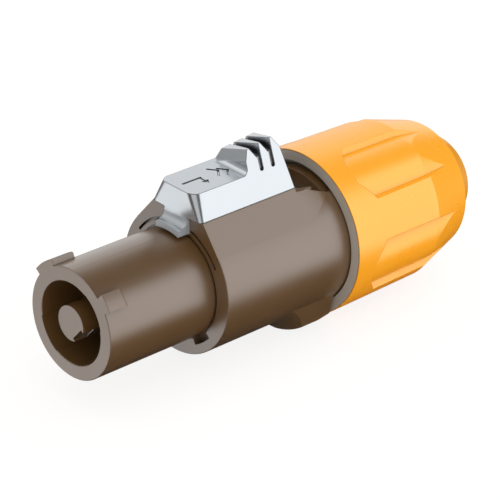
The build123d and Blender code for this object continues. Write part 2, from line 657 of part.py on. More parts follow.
def pin_at(radius, x_front, x_rear):
    """A cylinder on the spring's own axis."""
    return Pos(0, 0, SPRING_AXIS_Z) * rod(radius, x_front, x_rear)


def make_latch_spring():
    """The compression spring behind the latch's keel."""
    end_gap = SPRING_WIRE_R + SEAT_GAP
    height = SPRING_LENGTH - 2 * end_gap
    start = (SPRING_REAR + end_gap, 0, SPRING_AXIS_Z)
    path = Helix(height / SPRING_TURNS, height, SPRING_R, center=start, direction=(1, 0, 0))
    wire = Plane(path @ 0, z_dir=path % 0) * Circle(SPRING_WIRE_R)
    return sweep(wire, path=path, is_frenet=True)


def make_spring_seat():
    """The plug that closes the rail slot behind the spring."""
    rail_y = KEEL_HALF_WIDTH + RAIL_OVERHANG
    along = (SPRING_REAR, SPRING_SEAT_REAR)
    seat = block(along, (-KEEL_HALF_WIDTH, KEEL_HALF_WIDTH), (0, CHEEK_TOP_Z - 2 * RUNNING_FIT))
    seat += block(along, (-rail_y, rail_y), (0, RAIL_TOP_Z))
    seat -= rod(CHANNEL_FLOOR_R, 0, SPRING_SEAT_REAR - OVERCUT)
    return seat - pin_at(SPRING_PIN_R, SPRING_REAR + OVERCUT, SPRING_SEAT_REAR - OVERCUT)


def make_spring_pin():
    """The pin that is pressed into the seat and guides the spring."""
    return pin_at(SPRING_PIN_R, SPRING_PIN_FRONT, SPRING_SEAT_REAR)


def make_contact_carrier():
    """One insulating moulding: the centre post, the flange in the chamber and the hub for the terminals."""
    carrier = rod(POST_R, 0, FLANGE_REAR)
    carrier += rod(BORE_R - RUNNING_FIT, -BORE_DEPTH, FLANGE_REAR)
    flange = rod(CHAMBER_R - RUNNING_FIT, CHAMBER_FRONT - SEAT_GAP, FLANGE_REAR)
    carrier += flange & block((0, HUB_REAR), (-BODY_R, BODY_R), (-BODY_R, CHAMBER_FLAT_Z - RUNNING_FIT))
    carrier += rod(HUB_FLAT_R + HUB_WALL, FLANGE_REAR, HUB_REAR)
    side = CLAMP_WIDTH / 2 + CLAMP_SIDE_ROOM
    flat = block((FLANGE_REAR, HUB_REAR - OVERCUT), (-side, side), (HUB_FLAT_R, BODY_R))
    for angle in (*LINE_CONTACT_ANGLES.values(), EARTH_ANGLE):
        carrier -= at_clock(flat, angle)
    half = LINE_BLADE_WIDTH / 2 + RUNNING_FIT
    low = BORE_R - BLADE_THICKNESS - BLADE_BOW
    high = BORE_R + BLADE_LIE + BLADE_THICKNESS + CONE_GAP
    window = block((0, FLANGE_REAR - OVERCUT), (-half, half), (low, high))
    relief = block((FLANGE_REAR + OVERCUT, HUB_REAR), (-half, half), (HUB_FLAT_R, BORE_R + OVERCUT))
    for angle in LINE_CONTACT_ANGLES.values():
        carrier -= at_clock(window + relief, angle)
    half = EARTH_BLADE_WIDTH / 2 + 2 * RUNNING_FIT
    groove = block((OVERCUT, CLAMP_FRONT + OVERCUT), (-half, half), (EARTH_GROOVE_R, HUB_FLAT_R + OVERCUT))
    return carrier - at_clock(groove, EARTH_ANGLE)


def blade(path, width, angle):
    """A pressed contact blade: (x, radius) points along its inner face, bent in one plane."""
    outer = [(x, r + BLADE_THICKNESS) for x, r in path]
    return at_clock(side_profile(path + outer[::-1], width / 2), angle)


def make_line_contact(angle):
    """A line contact, bowed into the socket and bent in to its terminal."""
    lie = BORE_R + BLADE_LIE
    bowed = lie - BLADE_BOW
    tip = -BLADE_TIP_INSET
    return blade([
        (tip, lie), (tip - BLADE_BOW_START, bowed), (tip - BLADE_BOW_END, bowed),
        (-BORE_DEPTH + 2 * BLADE_THICKNESS, lie), (FLANGE_REAR - BLADE_LIE, lie),
        (CLAMP_FRONT + CONE_GAP, BLADE_SEAT_R), (CLAMP_REAR + SCREW_PROUD, BLADE_SEAT_R),
    ], LINE_BLADE_WIDTH, angle)


def make_earth_contact():
    """The earth contact, which lies in the groove of the centre post."""
    lie = EARTH_GROOVE_R + EARTH_LIE
    return blade([
        (-EARTH_TIP_INSET, lie), (FLANGE_REAR, lie), (CLAMP_FRONT + 2 * BLADE_THICKNESS, BLADE_SEAT_R),
        (CLAMP_REAR + SCREW_PROUD, BLADE_SEAT_R),
    ], EARTH_BLADE_WIDTH, EARTH_ANGLE)


def make_clamp(angle, blade_width):
    """A brass terminal block with a wire hole from behind, a slot for the blade and a screw hole."""
    half_width = CLAMP_WIDTH / 2
    top = BLADE_SEAT_R + CLAMP_HEIGHT
    body = block((CLAMP_FRONT, CLAMP_REAR), (-half_width, half_width), (BLADE_SEAT_R, top))
    half = blade_width / 2 + RUNNING_FIT
    body -= block(
        (CLAMP_FRONT + OVERCUT, CLAMP_REAR - OVERCUT), (-half, half),
        (BLADE_SEAT_R - OVERCUT, BLADE_SEAT_R + BLADE_THICKNESS + RUNNING_FIT),
    )
    hole = rod(WIRE_HOLE_R, CLAMP_FRONT - CLAMP_FRONT_WALL, CLAMP_REAR - OVERCUT)
    body -= Pos(0, 0, WIRE_HOLE_CENTRE_R) * hole
    return at_clock(body - screw_at(SCREW_R, WIRE_HOLE_CENTRE_R, top + OVERCUT), angle)


def screw_at(radius, low, high):
    """A cylinder across the middle of a terminal block, before it is turned to its angle."""
    return Pos(SCREW_X, 0, (low + high) / 2) * Cylinder(radius, high - low)


def make_terminal_screw(angle):
    """A slotted grub screw that clamps one wire."""
    top = BLADE_SEAT_R + CLAMP_HEIGHT + SCREW_PROUD
    screw = screw_at(SCREW_R - RUNNING_FIT / 2, WIRE_HOLE_CENTRE_R + CONE_GAP, top)
    half = SCREW_SLOT / 2
    along = (SCREW_X - half, SCREW_X + half)
    slot = block(along, (-SCREW_R, SCREW_R), (top - SCREW_SLOT_DEPTH, top + OVERCUT))
    return at_clock(screw - slot, angle)


def make_carrier_clip():
    """The open steel ring that holds the carrier's flange in the chamber."""
    return sector(
        CHAMBER_R - CLIP_INSET, CHAMBER_R + CLIP_DEPTH, FLANGE_REAR - RUNNING_FIT, FLANGE_REAR - CLIP_WIDTH,
        CLIP_OPEN_ANGLE, 360 - CLIP_OPEN_ANGLE,
    )


def make_neck_seal():
    """The rubber ring in the neck's groove."""
    ring = Pos(SEAL_X, 0, NECK_R - SEAL_RING_R) * (Plane.XZ * Circle(SEAL_RING_R))
    return revolve(ring, Axis.X, 360)


def cone_r(x):
    """The chuck's outside radius at a place along its cone."""
    return CHUCK_COLLAR_R - CHUCK_CONE_DROP * (CHUCK_CONE_FRONT - x) / CHUCK_CONE_LENGTH


def make_cable_chuck():
    """The slit cone that grips the cable's jacket, keyed in the neck so that it can't turn."""
    skirt_r = NECK_BORE_R - RUNNING_FIT
    chuck = turned([
        (CHUCK_FRONT, CABLE_R + CHUCK_SKIRT_STEP), (CHUCK_FRONT, skirt_r - EDGE),
        (CHUCK_FRONT - EDGE, skirt_r), (CHUCK_COLLAR_FRONT, skirt_r), (CHUCK_COLLAR_FRONT, CHUCK_COLLAR_R),
        (CHUCK_CONE_FRONT, CHUCK_COLLAR_R), (CHUCK_REAR, CHUCK_TIP_R), (CHUCK_REAR, CABLE_R),
        (CHUCK_COLLAR_FRONT, CABLE_R),
    ])
    half = GRIP_RING_PITCH / 4
    inner = CABLE_R - RUNNING_FIT
    deep = CABLE_R + GRIP_RING_DEPTH
    for index in range(GRIP_RING_COUNT):
        x = CHUCK_REAR + GRIP_RING_START + index * GRIP_RING_PITCH
        chuck -= turned([(x - half, inner), (x, deep), (x + half, deep), (x + half, inner)])
    half = CHUCK_SLIT / 2
    slit = block((CHUCK_CONE_FRONT, CHUCK_REAR - OVERCUT), (-half, half), (0, CHUCK_COLLAR_R + OVERCUT))
    for index in range(CHUCK_FINGERS):
        chuck -= at_clock(slit, (index + 0.5) * 360 / CHUCK_FINGERS)
    ridge = block(
        (CHUCK_FRONT - OVERCUT, CHUCK_COLLAR_FRONT), (-CHUCK_KEY_HALF_WIDTH, CHUCK_KEY_HALF_WIDTH),
        (skirt_r - CHUCK_KEY_HEIGHT, NECK_BORE_R + CHUCK_KEY_HEIGHT),
    )
    return chuck + at_clock(ridge, 90) + at_clock(ridge, 270)


def nut_tail_r():
    """The nut's outside radius at its rear end."""
    return cone_r(NUT_END_FRONT) + CONE_GAP + NUT_CONE_WALL


def make_gland_nut():
    """The hard nut inside the grip, with the flange that shows in front of it."""
    return turned([
        (NUT_FACE, NUT_SKIRT_R), (NUT_FACE, NUT_FLANGE_R),
        (NUT_FACE - NUT_BEVEL_LENGTH, NUT_FLANGE_LAND_R), (NUT_FLANGE_REAR, NUT_FLANGE_LAND_R),
        (NUT_FLANGE_REAR, NUT_OUTLINE_R), (NUT_TAPER_FRONT, NUT_OUTLINE_R),
        (NUT_REAR, nut_tail_r()), (NUT_REAR, NUT_MOUTH_R), (NUT_END_FRONT, NUT_MOUTH_R),
        (NUT_END_FRONT, cone_r(NUT_END_FRONT) + CONE_GAP),
        (NUT_BORE_REAR, cone_r(NUT_BORE_REAR) + CONE_GAP),
        (NUT_BORE_REAR, NUT_BORE_R), (NUT_STEP, NUT_BORE_R), (NUT_STEP, NUT_SKIRT_R),
    ])


def recess_floor(x, slope, crown_r):
    """A long lobed floor, with its crown's radius at one place and its slope to the rear in degrees."""
    lobe = Rot(Y=90) * Cylinder(LOBE_R, 2 * (SLEEVE_FRONT - STUB_REAR))
    return Pos(x, 0, crown_r - LOBE_R / cos(radians(slope))) * Rot(Y=-slope) * lobe


def recess(angle):
    """What is cut away between two ribs, down to a lobed floor, with a chevron in front."""
    half = radians(180 / RIB_COUNT - RIB_WIDTH_ANGLE / 2)
    reach = SLEEVE_FRONT_R + 2 * OVERCUT
    rear = SLEEVE_RIM - OVERCUT
    front = SLEEVE_FRONT - RECESS_FRONT
    crown_y = SLEEVE_FRONT_R * sin(radians(RECESS_CROWN_ANGLE))
    edge_y = SLEEVE_FRONT_R * sin(half)
    meet = SLEEVE_FRONT_R - RECESS_WALL_MEET
    side_y = edge_y * (reach - meet) / (SLEEVE_FRONT_R * cos(half) - meet)
    wedge = section([(0, meet), (side_y, reach), (-side_y, reach)], front, rear)
    wide_y = 2 * edge_y
    chevron_x = front - RECESS_CHEVRON * (wide_y - crown_y) / (edge_y - crown_y)
    near = [(front, crown_y), (chevron_x, wide_y), (rear, wide_y)]
    far = [(x, -y) for x, y in reversed(near)]
    wedge &= extrude(make_face(Polyline(*near, *far, close=True)), reach)
    taper = degrees(atan(SLEEVE_TAPER / SLEEVE_BARREL_LENGTH))
    floor = recess_floor(SLEEVE_FRONT, taper, SLEEVE_FRONT_R)
    floor &= recess_floor(SLEEVE_CREASE, RECESS_REAR_SLOPE, SLEEVE_CREASE_R)
    return at_clock(wedge - floor, angle)


def make_grip_sleeve():
    """The soft grip over the nut: ribs and lobed recesses, a cone behind and the cable's mouth."""
    gap = SEAT_GAP
    flange_rear = NUT_FLANGE_REAR - gap
    inner_r = NUT_OUTLINE_R + gap
    land_r = NUT_FLANGE_LAND_R + gap
    sleeve = turned([
        (SLEEVE_FRONT, NUT_FLANGE_R + gap), (SLEEVE_FRONT, SLEEVE_FRONT_R),
        (SLEEVE_CREASE, SLEEVE_CREASE_R), (SLEEVE_RIM, SLEEVE_RIM_R), (SLEEVE_RIM, STUB_ROOT_R),
        (STUB_REAR, STUB_R), (STUB_REAR, STUB_HOLE_R), (NUT_REAR - gap, STUB_HOLE_R),
        (NUT_REAR - gap, nut_tail_r() + gap), (NUT_TAPER_FRONT, inner_r), (flange_rear, inner_r),
        (flange_rear, land_r), (SLEEVE_FRONT - NUT_BEVEL_LENGTH, land_r),
    ])
    circles = sleeve.edges().filter_by(GeomType.CIRCLE)
    sleeve = fillet([edge for edge in circles if abs(edge.radius - SLEEVE_RIM_R) < TOUCH], SLEEVE_RIM_FILLET)
    circles = sleeve.edges().filter_by(GeomType.CIRCLE)
    mouth = [edge for edge in circles if abs(edge.radius - STUB_R) < TOUCH and edge.center().X < SLEEVE_RIM]
    sleeve = fillet(mouth, STUB_FILLET)
    step = 360 / RIB_COUNT
    for index in range(RIB_COUNT):
        sleeve -= recess(FIRST_RIB_ANGLE + (index + 0.5) * step)
    return sleeve


def make_parts():
    """Every piece of the connector, by its name."""
    parts = {
        "housing": make_housing(),
        "latch": make_latch(),
        "latch_spring": make_latch_spring(),
        "spring_seat": make_spring_seat(),
        "spring_pin": make_spring_pin(),
        "contact_carrier": make_contact_carrier(),
        "carrier_clip": make_carrier_clip(),
        "neck_seal": make_neck_seal(),
        "cable_chuck": make_cable_chuck(),
        "gland_nut": make_gland_nut(),
        "grip_sleeve": make_grip_sleeve(),
        "earth_contact": make_earth_contact(),
        "earth_clamp": make_clamp(EARTH_ANGLE, EARTH_BLADE_WIDTH),
        "earth_screw": make_terminal_screw(EARTH_ANGLE),
    }
    for name, angle in LINE_CONTACT_ANGLES.items():
        parts[f"{name}_contact"] = make_line_contact(angle)
        parts[f"{name}_clamp"] = make_clamp(angle, LINE_BLADE_WIDTH)
        parts[f"{name}_screw"] = make_terminal_screw(angle)
    return parts


os.makedirs("parts", exist_ok=True)
for node, shape in make_parts().items():
    export_step(shape, f"parts/{node}.step")
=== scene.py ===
import math

import bmesh
import bpy
from mathutils import Matrix, Vector


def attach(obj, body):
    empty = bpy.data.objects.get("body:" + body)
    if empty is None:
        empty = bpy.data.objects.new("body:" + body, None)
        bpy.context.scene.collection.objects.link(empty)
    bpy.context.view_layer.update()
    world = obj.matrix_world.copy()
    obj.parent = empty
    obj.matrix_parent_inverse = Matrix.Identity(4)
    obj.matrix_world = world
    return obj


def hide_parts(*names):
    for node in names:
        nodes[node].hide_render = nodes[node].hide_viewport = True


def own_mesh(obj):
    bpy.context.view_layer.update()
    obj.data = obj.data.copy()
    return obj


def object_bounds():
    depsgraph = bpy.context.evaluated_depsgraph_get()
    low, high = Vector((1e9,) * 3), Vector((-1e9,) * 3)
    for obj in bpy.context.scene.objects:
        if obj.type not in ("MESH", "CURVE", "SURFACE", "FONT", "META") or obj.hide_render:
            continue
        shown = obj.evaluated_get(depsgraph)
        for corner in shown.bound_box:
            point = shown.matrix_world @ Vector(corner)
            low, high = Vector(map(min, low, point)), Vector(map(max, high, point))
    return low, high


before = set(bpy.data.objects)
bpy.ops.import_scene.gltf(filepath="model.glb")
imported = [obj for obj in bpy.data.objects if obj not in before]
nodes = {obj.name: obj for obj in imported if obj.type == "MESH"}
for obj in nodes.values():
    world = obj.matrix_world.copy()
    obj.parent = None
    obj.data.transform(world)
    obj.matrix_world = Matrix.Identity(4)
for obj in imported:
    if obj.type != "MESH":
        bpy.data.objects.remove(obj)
cad_box = [list(corner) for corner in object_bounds()]

MM = 0.001
WHITE = (1.0, 1.0, 1.0, 1.0)

# Camera, in the connector's own frame
CAMERA_AT = Vector((285.5, 332.2, 249.1)) * MM
CAMERA_RIGHT = Vector((-0.7217, 0.6905, 0.0483))
CAMERA_UP = Vector((-0.2923, -0.3672, 0.8830))
CAMERA_BACK = Vector((0.6275, 0.6231, 0.4668))
CAMERA_LENS = 183.2
CAMERA_SENSOR = 36.0
CAMERA_REACH = 10.0

# Studio
FLOOR_HALF = 1.6
FLOOR_SHADE = (0.92, 0.85, 0.77, 1.0)
FLOOR_GLOW = 0.84
FLOOR_SHADOW_SHARE = 0.22
# Even soft light, and how much of it comes from one side, with the way towards that side
SOFT_LIGHT = 0.92
SIDE_LIGHT = 0.62
SIDE_LIGHT_FROM = (-0.60, 0.70, 0.42)
# What glossy surfaces mirror: a dim studio with softboxes in it
STUDIO_DIM = 0.03
STUDIO_SHADE = (0.8, 0.8, 0.8, 1.0)
# A softbox shows only where a direction's cosine to its aim is above this
SOFTBOX_AHEAD = 0.35
# Softboxes: the way they hang, half width, half height, soft edge and strength
SOFTBOXES = {
    "right": ((-0.66, 0.74, 0.18), 0.38, 0.50, 0.12, 2.0),
    "rear_left": ((-0.62, -0.74, 0.22), 0.46, 0.46, 0.12, 1.27),
    "front_left_low": ((0.52, -0.60, -0.60), 0.34, 0.26, 0.12, 1.70),
    "front_edge": ((0.72, 0.68, -0.10), 0.46, 0.50, 0.14, 0.95),
    "front_left": ((0.72, -0.60, 0.34), 0.34, 0.50, 0.12, 0.55),
    "left": ((0.09, -0.99, 0.10), 0.34, 0.34, 0.10, 1.1),
    "over_top": ((0.25, -0.64, 0.72), 0.45, 0.24, 0.20, 1.35),
}

# Every surface: fineness of its mottle and grain, and the grain's height
MOTTLE_SCALE = 120.0
GRAIN_SCALE = 2600.0
GRAIN_HEIGHT = 0.06 * MM
EDGE_SAMPLES = 8
CREASE_SAMPLES = 16
# An edge's painted shade line fades out while its rounded normal turns back to the flat one, given as cosines
EDGE_TURNED = 0.82
EDGE_FLAT = 0.985

# Latch: its lip is left as cast up to one height, and the cover is fully plated from the other
LIP_DULL_TO = 14.6 * MM
LIP_BRIGHT_FROM = 16.0 * MM
LIP_ROUGH = 0.48
LIP_METAL = 0.40
COVER_ROUGH = 0.20
COVER_METAL = 0.84

# Grip: where the painted shade on its stub starts, and over what length the colour turns
STUB_SHADE_FROM = -100.4 * MM
STUB_SHADE_BLEND = 0.1 * MM

# Latch spring, on its own axis above the barrel's axis
SPRING_AXIS_Z = 14.375 * MM
SPRING_R = 1.15 * MM
SPRING_WIRE_R = 0.2 * MM
SPRING_FRONT = -37.25 * MM
SPRING_RUN = 12.5 * MM
SPRING_TURNS = 8
SPRING_WIRE_SIDES = 10
SPRING_STEPS = 24 * SPRING_TURNS

# Thread on the housing's neck
THREAD_FRONT = -66.8 * MM
THREAD_RUN = 10.0 * MM
THREAD_PITCH = 2.0 * MM
THREAD_CORE_R = 14.15 * MM
THREAD_RIDGE_R = 0.5 * MM
THREAD_RIDGE_SIDES = 12
THREAD_STEPS = 270

# New pieces: faces that meet at more than this keep a sharp edge
SHARP_FROM = math.radians(35.0)

# Colours, linear
BROWN = (0.127, 0.061, 0.015)
# Painted sheen: the housing's brown made paler on the gland nut, in place of the reflection on its front face
BROWN_RING_SHEEN = (0.430, 0.385, 0.335)
BROWN_DARK = (0.040, 0.024, 0.014)
ORANGE = (0.990, 0.394, 0.005)
# Painted shade: the grip's orange made darker on the stub, which faces away from the light
ORANGE_STUB_SHADED = (0.740, 0.290, 0.004)
ORANGE_SHEEN = (1.0, 1.0, 0.66, 1.0)
NICKEL = (0.55, 0.58, 0.61)
SILVER = (0.80, 0.78, 0.72)
BRASS = (0.72, 0.50, 0.20)
STEEL = (0.55, 0.55, 0.56)
IVORY = (0.72, 0.71, 0.66)
BLACK = (0.012, 0.012, 0.012)

# What the surface group takes, with its usual values
SURFACE_INPUTS = {
    "Color": ("NodeSocketColor", (0.5, 0.5, 0.5, 1.0)),
    "Mottle": ("NodeSocketFloat", 0.12),
    "Grain Depth": ("NodeSocketFloat", 0.08),
    "Roughness": ("NodeSocketFloat", 0.4),
    "Roughness Spread": ("NodeSocketFloat", 0.08),
    # The edge values paint thin lines of shade along the edges
    "Edge Radius": ("NodeSocketFloat", 0.2 * MM),
    "Edge Shade": ("NodeSocketFloat", 0.8),
    # The crease values paint shade into grooves and inner corners
    "Crease Shade": ("NodeSocketFloat", 0.4),
    "Crease Reach": ("NodeSocketFloat", 0.7 * MM),
    "Crease Closed": ("NodeSocketFloat", 0.45),
    "Crease Open": ("NodeSocketFloat", 0.70),
}
SURFACE_OUTPUTS = {
    "Color": "NodeSocketColor",
    "Roughness": "NodeSocketFloat",
    "Normal": "NodeSocketVector",
}
# What the softbox group takes, all set where a softbox is hung
SOFTBOX_INPUTS = {
    "Direction": ("NodeSocketVector", (0.0, 0.0, 0.0)),
    "Aim": ("NodeSocketVector", (0.0, 0.0, 0.0)),
    "Side": ("NodeSocketVector", (0.0, 0.0, 0.0)),
    "Up": ("NodeSocketVector", (0.0, 0.0, 0.0)),
    "Half Width": ("NodeSocketFloat", 0.0),
    "Half Height": ("NodeSocketFloat", 0.0),
    "Edge": ("NodeSocketFloat", 0.0),
    "Strength": ("NodeSocketFloat", 0.0),
}


def shader(name):
    """A new node material with its node tree and its Principled shader."""
    material = bpy.data.materials.new(name)
    material.use_nodes = True
    tree = material.node_tree
    return material, tree, tree.nodes["Principled BSDF"]


def feed(tree, socket, term):
    """Link another node's output to an input, or write a plain value there."""
    if isinstance(term, bpy.types.NodeSocket):
        tree.links.new(term, socket)
    else:
        socket.default_value = term


def add_node(tree, kind, **settings):
    """A node with its settings. Those with a capital letter are its inputs."""
    node = tree.nodes.new(kind)
    for key, value in settings.items():
        if key[0].isupper():
            feed(tree, node.inputs[key.replace("_", " ")], value)
        else:
            setattr(node, key, value)
    return node


def calc(tree, operation, *terms):
    """The result of one sum on outputs or plain values."""
    node = add_node(tree, "ShaderNodeMath", operation=operation)
    for socket, term in zip(node.inputs, terms):
        feed(tree, socket, term)
    return node.outputs[0]


def dot(tree, first, second):
    """How far one direction goes along another."""
    node = add_node(tree, "ShaderNodeVectorMath", operation="DOT_PRODUCT")
    feed(tree, node.inputs[0], first)
    feed(tree, node.inputs[1], second)
    return node.outputs["Value"]


def ramp(tree, value, low, high, low_value, high_value, curve="SMOOTHSTEP"):
    """A value that goes from one to another while the given value goes from low to high."""
    node = add_node(
        tree, "ShaderNodeMapRange", interpolation_type=curve, Value=value, From_Min=low, From_Max=high,
        To_Min=low_value, To_Max=high_value,
    )
    return node.outputs["Result"]


def mix(tree, share, first, second):
    """Two shaders mixed, with the second one's share."""
    node = add_node(tree, "ShaderNodeMixShader", Fac=share)
    feed(tree, node.inputs[1], first)
    feed(tree, node.inputs[2], second)
    return node.outputs[0]


def new_group(name, inputs, outputs):
    """An empty shader node group, with what it is given and what it puts out."""
    group = bpy.data.node_groups.new(name, "ShaderNodeTree")
    for label, (kind, value) in inputs.items():
        group.interface.new_socket(label, in_out="INPUT", socket_type=kind).default_value = value
    for label, kind in outputs.items():
        group.interface.new_socket(label, in_out="OUTPUT", socket_type=kind)
    given = group.nodes.new("NodeGroupInput")
    result = group.nodes.new("NodeGroupOutput")
    return group, given.outputs, result.inputs


def edge_line(group, given, rounded):
    """A thin line of painted shade along edges, where the rounded normal leaves the flat one."""
    flat = group.nodes.new("ShaderNodeNewGeometry").outputs["Normal"]
    agree = dot(group, rounded, flat)
    return ramp(group, agree, EDGE_TURNED, EDGE_FLAT, given["Edge Shade"], 1.0, "LINEAR")


def crease_shade(group, given):
    """Painted shade: the colour darkened by occlusion in grooves, inner corners and notches, where shade
    falls.
    """
    hollow = add_node(
        group, "ShaderNodeAmbientOcclusion", samples=CREASE_SAMPLES, only_local=True,
        Distance=given["Crease Reach"],
    )
    return ramp(
        group, hollow.outputs["AO"], given["Crease Closed"], given["Crease Open"], given["Crease Shade"], 1.0,
        "LINEAR",
    )


def grained(group, given, place, rounded):
    """The rounded normal with a fine grain on it."""
    grain = add_node(
        group, "ShaderNodeTexNoise", Vector=place, Scale=GRAIN_SCALE, Detail=2.0, Roughness=0.6,
    )
    bump = add_node(
        group, "ShaderNodeBump", Distance=GRAIN_HEIGHT, Height=grain.outputs["Fac"],
        Strength=given["Grain Depth"], Normal=rounded,
    )
    return bump.outputs["Normal"]


def moulded_surface():
    """Fine texture of a moulded or cast surface: a mottled colour with painted shade along edges and in
    creases, a roughness and a grained normal.
    """
    group, given, result = new_group("moulded_surface", SURFACE_INPUTS, SURFACE_OUTPUTS)
    place = group.nodes.new("ShaderNodeTexCoord").outputs["Object"]
    mottle = add_node(
        group, "ShaderNodeTexNoise", Vector=place, Scale=MOTTLE_SCALE, Detail=3.0, Roughness=0.55,
    )
    centred = calc(group, "SUBTRACT", mottle.outputs["Fac"], 0.5)
    swing = calc(group, "MULTIPLY_ADD", centred, given["Mottle"], 1.0)
    bevel = add_node(group, "ShaderNodeBevel", samples=EDGE_SAMPLES, Radius=given["Edge Radius"])
    rounded = bevel.outputs["Normal"]
    # The colour is darkened by painted shade along edges and in creases
    painted_shade = calc(group, "MULTIPLY", edge_line(group, given, rounded), crease_shade(group, given))
    tint = add_node(
        group, "ShaderNodeVectorMath", operation="SCALE", Vector=given["Color"],
        Scale=calc(group, "MULTIPLY", painted_shade, swing),
    )
    rough = calc(group, "MULTIPLY_ADD", centred, given["Roughness Spread"], given["Roughness"])
    feed(group, result["Color"], tint.outputs["Vector"])
    feed(group, result["Roughness"], rough)
    feed(group, result["Normal"], grained(group, given, place, rounded))
    return group


SURFACE = moulded_surface()


def textured(name, colour, rough, finish=None, **sockets):
    """A material on the surface group, with its finish, and the shader's own sockets set plainly."""
    material, tree, principled = shader(name)
    surface = tree.nodes.new("ShaderNodeGroup")
    surface.node_tree = SURFACE
    for label, value in {"Color": (*colour, 1.0), "Roughness": rough, **(finish or {})}.items():
        surface.inputs[label].default_value = value
    for label, value in sockets.items():
        principled.inputs[label.replace("_", " ")].default_value = value
    tree.links.new(surface.outputs["Color"], principled.inputs["Base Color"])
    tree.links.new(surface.outputs["Roughness"], principled.inputs["Roughness"])
    tree.links.new(surface.outputs["Normal"], principled.inputs["Normal"])
    return material


def between(tree, axis, low, high, low_value, high_value):
    """A value that goes from one to another between two places along an axis of the object."""
    place = tree.nodes.new("ShaderNodeTexCoord").outputs["Object"]
    parts = add_node(tree, "ShaderNodeSeparateXYZ", Vector=place)
    return ramp(tree, parts.outputs[axis], low, high, low_value, high_value)


def brown_plastic(name):
    """Glossy brown moulding, of the housing and the contact carrier."""
    return textured(
        name, BROWN, rough=0.36, IOR=1.6, Specular_IOR_Level=1.0, Coat_Weight=0.8, Coat_IOR=1.6,
        Coat_Roughness=0.3,
    )


def nut_plastic():
    """Brown moulding of the gland nut, painted paler as a painted sheen for the softbox its flat front face
    would mirror.
    """
    return textured("nut_plastic", BROWN_RING_SHEEN, rough=0.42)


def chuck_plastic():
    """Ivory moulding of the cable chuck."""
    return textured("chuck_plastic", IVORY, rough=0.40)


def seal_rubber():
    """Black rubber of the neck's ring."""
    return textured("seal_rubber", BLACK, rough=0.55)


def seat_plastic():
    """Dark moulding of the spring's seat."""
    return textured("seat_plastic", BROWN_DARK, rough=0.50)


def plain_steel():
    """Plated steel of the spring, the pin, the clip and the screws."""
    finish = {"Mottle": 0.05, "Grain Depth": 0.03}
    return textured("steel", STEEL, rough=0.30, finish=finish, Metallic=1.0)


def contact_silver():
    """Silver plate of the contacts."""
    finish = {"Mottle": 0.06, "Grain Depth": 0.02}
    return textured("contact_silver", SILVER, rough=0.26, finish=finish, Metallic=1.0)


def clamp_brass():
    """Brass of the terminal clamps."""
    finish = {"Mottle": 0.08, "Grain Depth": 0.03}
    return textured("clamp_brass", BRASS, rough=0.30, finish=finish, Metallic=1.0)


def latch_nickel():
    """Plated casting: bright over the cover, duller on the lip that is left as cast."""
    # Deep crease values paint shade into the notches between the teeth
    finish = {
        "Mottle": 0.03, "Grain Depth": 0.02, "Edge Radius": 0.3 * MM, "Edge Shade": 0.7, "Crease Shade": 0.10,
        "Crease Reach": 3.5 * MM, "Crease Closed": 0.40, "Crease Open": 0.64,
    }
    material = textured("latch_nickel", NICKEL, rough=COVER_ROUGH, finish=finish)
    tree = material.node_tree
    rough = between(tree, "Z", LIP_DULL_TO, LIP_BRIGHT_FROM, LIP_ROUGH, COVER_ROUGH)
    metal = between(tree, "Z", LIP_DULL_TO, LIP_BRIGHT_FROM, LIP_METAL, COVER_METAL)
    tree.links.new(rough, tree.nodes["Group"].inputs["Roughness"])
    tree.links.new(metal, tree.nodes["Principled BSDF"].inputs["Metallic"])
    return material


def grip_orange():
    """Soft orange grip, with painted shade on the stub behind the rim, which faces away from the light."""
    finish = {
        # The crease shade paints shade at the feet of the rib walls
        "Mottle": 0.04, "Grain Depth": 0.04, "Roughness Spread": 0.05, "Edge Radius": 0.22 * MM,
        "Edge Shade": 0.78, "Crease Shade": 0.62,
    }
    material = textured(
        "grip_orange", ORANGE, rough=0.28, finish=finish, IOR=1.75, Specular_IOR_Level=0.82,
        Specular_Tint=ORANGE_SHEEN,
    )
    tree = material.node_tree
    blend = add_node(tree, "ShaderNodeMix", data_type="RGBA")
    # A mix of colours has its share at input 0, the two colours at 6 and 7, and the result at output 2
    share, stub, grip = blend.inputs[0], blend.inputs[6], blend.inputs[7]
    # The stub is the grip's own orange with painted shade, not a colour of its own
    feed(tree, share, between(tree, "X", STUB_SHADE_FROM - STUB_SHADE_BLEND, STUB_SHADE_FROM, 0.0, 1.0))
    feed(tree, stub, (*ORANGE_STUB_SHADED, 1.0))
    feed(tree, grip, (*ORANGE, 1.0))
    tree.links.new(blend.outputs[2], tree.nodes["Group"].inputs["Color"])
    return material


MATERIALS = {
    "housing": brown_plastic("housing_plastic"),
    "gland_nut": nut_plastic(),
    "contact_carrier": brown_plastic("carrier_plastic"),
    "latch": latch_nickel(),
    "grip_sleeve": grip_orange(),
    "cable_chuck": chuck_plastic(),
    "neck_seal": seal_rubber(),
    "spring_seat": seat_plastic(),
    "steel": plain_steel(),
    "silver": contact_silver(),
    "brass": clamp_brass(),
}
# Nodes whose finish has another name than theirs
FINISHES = {
    "latch_spring": "steel",
    "spring_pin": "steel",
    "carrier_clip": "steel",
    "live_contact": "silver",
    "neutral_contact": "silver",
    "earth_contact": "silver",
    "live_clamp": "brass",
    "neutral_clamp": "brass",
    "earth_clamp": "brass",
    "live_screw": "steel",
    "neutral_screw": "steel",
    "earth_screw": "steel",
}


def dress(obj, material):
    """Give a piece one material in all its slots."""
    obj.data.materials.clear()
    obj.data.materials.append(material)
    for polygon in obj.data.polygons:
        polygon.material_index = 0


def dress_nodes():
    """Every carried-over node gets its finish."""
    for name, obj in nodes.items():
        dress(obj, MATERIALS[FINISHES.get(name, name)])


